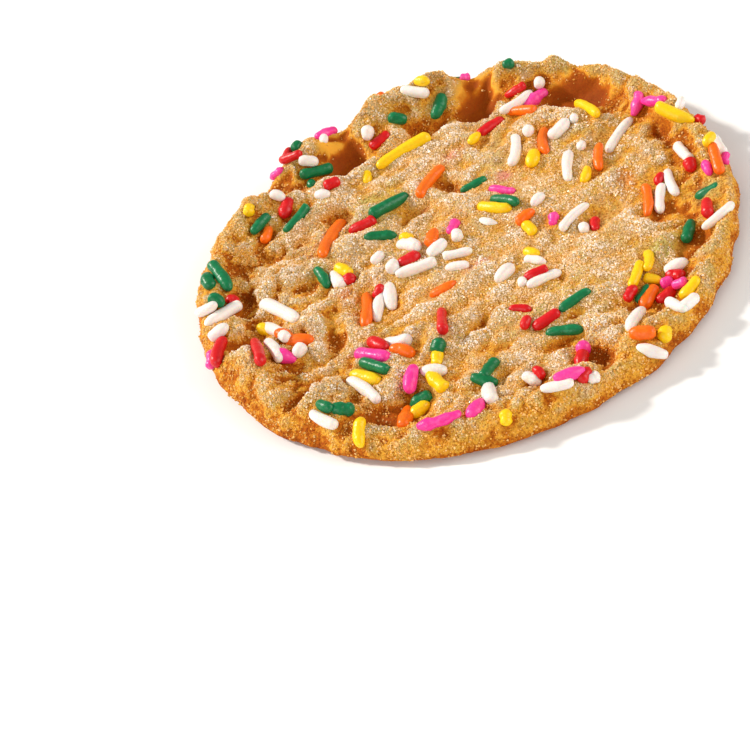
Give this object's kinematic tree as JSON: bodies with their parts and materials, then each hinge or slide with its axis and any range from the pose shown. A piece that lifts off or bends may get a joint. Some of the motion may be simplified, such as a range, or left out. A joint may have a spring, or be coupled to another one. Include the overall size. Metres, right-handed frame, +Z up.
{
  "type": "thin crisp cookie",
  "caption": "Thin round crisp sugar cookie with a crinkled, baked top, a raised browned rim and coloured sprinkles half sunk into it.",
  "frame": {"origin": "middle of the flat underside", "axes": "+Z up out of the baked top, +Y towards the high far side of the rim, +X to the right seen from the near side"},
  "size_m": [0.091, 0.0908, 0.0099],
  "materials": {
    "dough": "sugary golden dough, dry and sandy, browner at the rim and smooth burnt orange in its hollows",
    "sprinkle_white": "satin white sugar sprinkle",
    "sprinkle_red": "glossy red sugar sprinkle",
    "sprinkle_orange": "glossy orange sugar sprinkle",
    "sprinkle_yellow": "glossy yellow sugar sprinkle",
    "sprinkle_green": "glossy green sugar sprinkle",
    "sprinkle_pink": "glossy pink sugar sprinkle",
    "sugar": "clear and creamy sugar crystals"
  },
  "bodies": {
    "root": {"cookie": "dough"}
  },
  "joints": []
}
